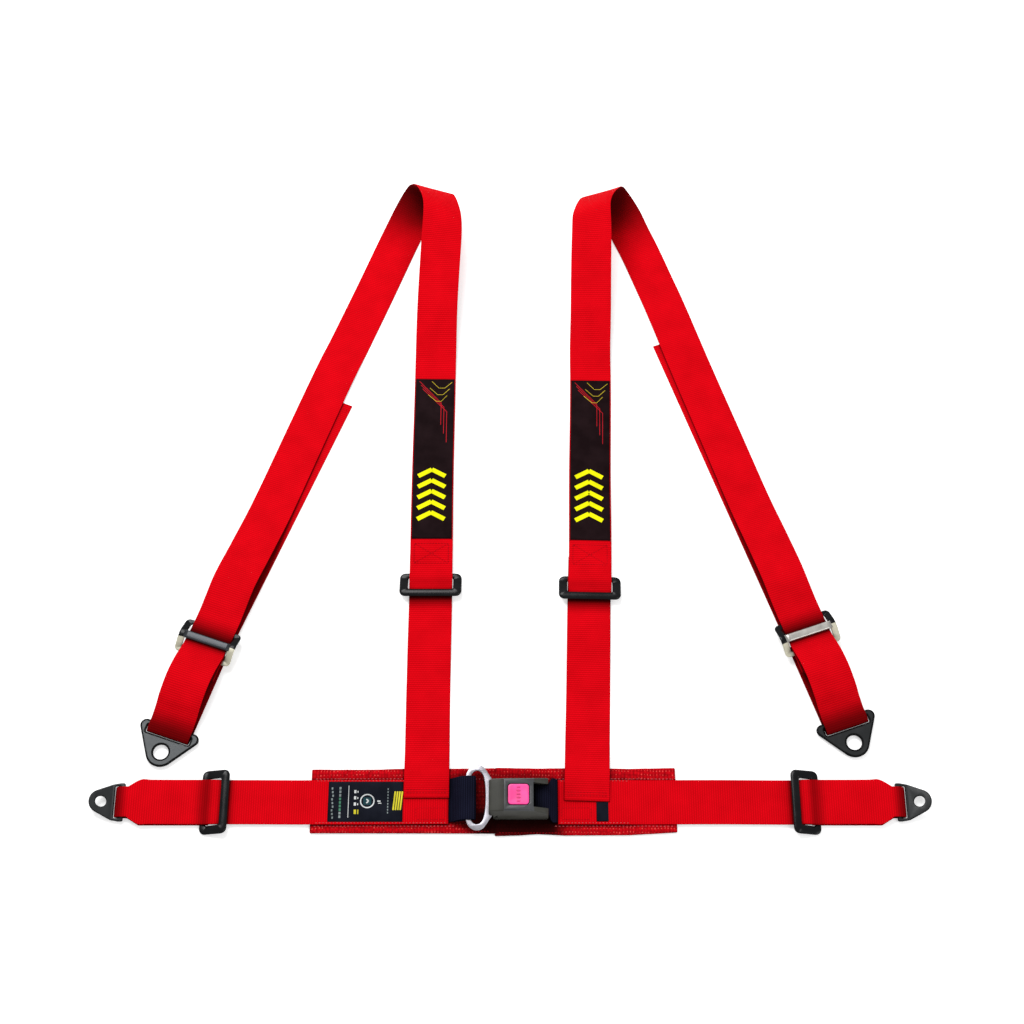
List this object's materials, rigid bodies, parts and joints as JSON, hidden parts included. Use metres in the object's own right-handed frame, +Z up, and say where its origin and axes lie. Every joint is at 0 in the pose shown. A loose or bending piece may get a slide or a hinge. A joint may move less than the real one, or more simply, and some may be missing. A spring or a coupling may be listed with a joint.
{
  "type": "racing harness",
  "caption": "Harness of flat webbing with a push-button buckle on a padded lap belt, shoulder straps with slides that fold back to rear anchor plates, and bent lap anchors.",
  "frame": {"origin": "on the floor under the middle of the harness's box, as it lies flat", "axes": "+X along the lap belt to the buckle side, +Y from the lap belt to the top folds, +Z up from the floor"},
  "size_m": [0.9248, 0.8436, 0.0682],
  "materials": {
    "webbing_red": "ribbed woven polyester",
    "pad_red": "coarse woven pad cloth",
    "webbing_black": "woven, near black",
    "label": "printed label cloth",
    "black_steel": "black coating, satin",
    "plated_steel": "plated, half in black coating",
    "tongue_steel": "polished",
    "inner_steel": "plain",
    "buckle_plastic": "fine grain",
    "button_pink": "satin"
  },
  "bodies": {
    "right_belt": {"buckle_top_cover": "buckle_plastic", "buckle_bottom_cover": "buckle_plastic", "buckle_frame": "inner_steel", "buckle_rivets": "inner_steel", "button_spring": "inner_steel", "ejector_springs": "inner_steel", "buckle_web_loop": "webbing_black", "right_lap_strap": "webbing_red", "right_pad": "pad_red", "strap_tab": "webbing_black", "right_lower_strap": "webbing_red"},
    "button": {"release_button": "button_pink"},
    "pawl": {"latch_pawl": "inner_steel"},
    "ejector_block": {"ejector": "buckle_plastic"},
    "left_belt": {"tongue_plate": "tongue_steel", "tongue_web_loop": "webbing_black", "left_lap_strap": "webbing_red", "left_pad": "pad_red", "care_label": "label", "left_lower_strap": "webbing_red"},
    "left_lap_end": {"left_lap_slide": "black_steel", "left_lap_end_loop": "webbing_red"},
    "left_lap_tab": {"left_lap_anchor": "black_steel"},
    "left_shoulder": {"left_shoulder_slide": "black_steel", "left_shoulder_strap": "webbing_red", "left_shoulder_label": "label"},
    "left_rear": {"left_rear_slide": "plated_steel", "left_rear_end_loop": "webbing_red", "left_rear_tail": "webbing_red"},
    "left_rear_tab": {"left_rear_anchor": "black_steel"},
    "right_lap_end": {"right_lap_slide": "black_steel", "right_lap_end_loop": "webbing_red"},
    "right_lap_tab": {"right_lap_anchor": "black_steel"},
    "right_shoulder": {"right_shoulder_slide": "black_steel", "right_shoulder_strap": "webbing_red", "right_shoulder_label": "label"},
    "right_rear": {"right_rear_slide": "plated_steel", "right_rear_end_loop": "webbing_red", "right_rear_tail": "webbing_red"},
    "right_rear_tab": {"right_rear_anchor": "black_steel"}
  },
  "joints": [
    {"name": "button_press", "type": "slide", "parent": "right_belt", "child": "button", "axis": [0, 0, -1], "range_m": [0, 0.0025], "stiffness_N_per_m": 1000, "springref_m": -0.003, "deforming": ["button_spring"]},
    {"name": "pawl_swing", "type": "hinge", "parent": "right_belt", "child": "pawl", "pos_m": [0.008, -0.38, 0.0193], "axis": [0, 1, 0], "range_deg": [0, 14.5]},
    {"name": "tongue_release", "type": "slide", "parent": "right_belt", "child": "left_belt", "axis": [-1, 0, 0], "range_m": [0, 0.065]},
    {"name": "ejector_push", "type": "slide", "parent": "right_belt", "child": "ejector_block", "axis": [-1, 0, 0], "range_m": [0, 0.0066]},
    {"name": "left_lap_adjust", "type": "slide", "parent": "left_belt", "child": "left_lap_end", "axis": [-1, 0, 0], "range_m": [-0.03, 0.03]},
    {"name": "left_lap_anchor_swing", "type": "hinge", "parent": "left_lap_end", "child": "left_lap_tab", "pos_m": [-0.42675, -0.3825, 0.0045], "axis": [0, 1, 0], "range_deg": [0, 70]},
    {"name": "left_shoulder_adjust", "type": "slide", "parent": "left_belt", "child": "left_shoulder", "axis": [0, 1, 0], "range_m": [-0.008, 0.04]},
    {"name": "left_rear_adjust", "type": "slide", "parent": "left_shoulder", "child": "left_rear", "axis": [0.3256, 0.9455, 0], "range_m": [-0.008, 0.012]},
    {"name": "left_rear_anchor_swing", "type": "hinge", "parent": "left_rear", "child": "left_rear_tab", "pos_m": [-0.37984, -0.29867, 0.0049], "axis": [-0.9455, 0.3256, 0], "range_deg": [0, 60]},
    {"name": "right_lap_adjust", "type": "slide", "parent": "right_belt", "child": "right_lap_end", "axis": [1, 0, 0], "range_m": [-0.03, 0.03]},
    {"name": "right_lap_anchor_swing", "type": "hinge", "parent": "right_lap_end", "child": "right_lap_tab", "pos_m": [0.42675, -0.3825, 0.0045], "axis": [0, -1, 0], "range_deg": [0, 70]},
    {"name": "right_shoulder_adjust", "type": "slide", "parent": "right_belt", "child": "right_shoulder", "axis": [0.0227, 0.9997, 0], "range_m": [-0.008, 0.04]},
    {"name": "right_rear_adjust", "type": "slide", "parent": "right_shoulder", "child": "right_rear", "axis": [-0.3256, 0.9455, 0], "range_m": [-0.008, 0.012]},
    {"name": "right_rear_anchor_swing", "type": "hinge", "parent": "right_rear", "child": "right_rear_tab", "pos_m": [0.37484, -0.28767, 0.0049], "axis": [-0.9455, -0.3256, 0], "range_deg": [0, 60]}
  ],
  "couplings": [
    {"joint": "pawl_swing", "follows": "button_press", "rad_per_m": 100},
    {"joint": "ejector_push", "follows": "tongue_release", "ratio": 0.1}
  ]
}
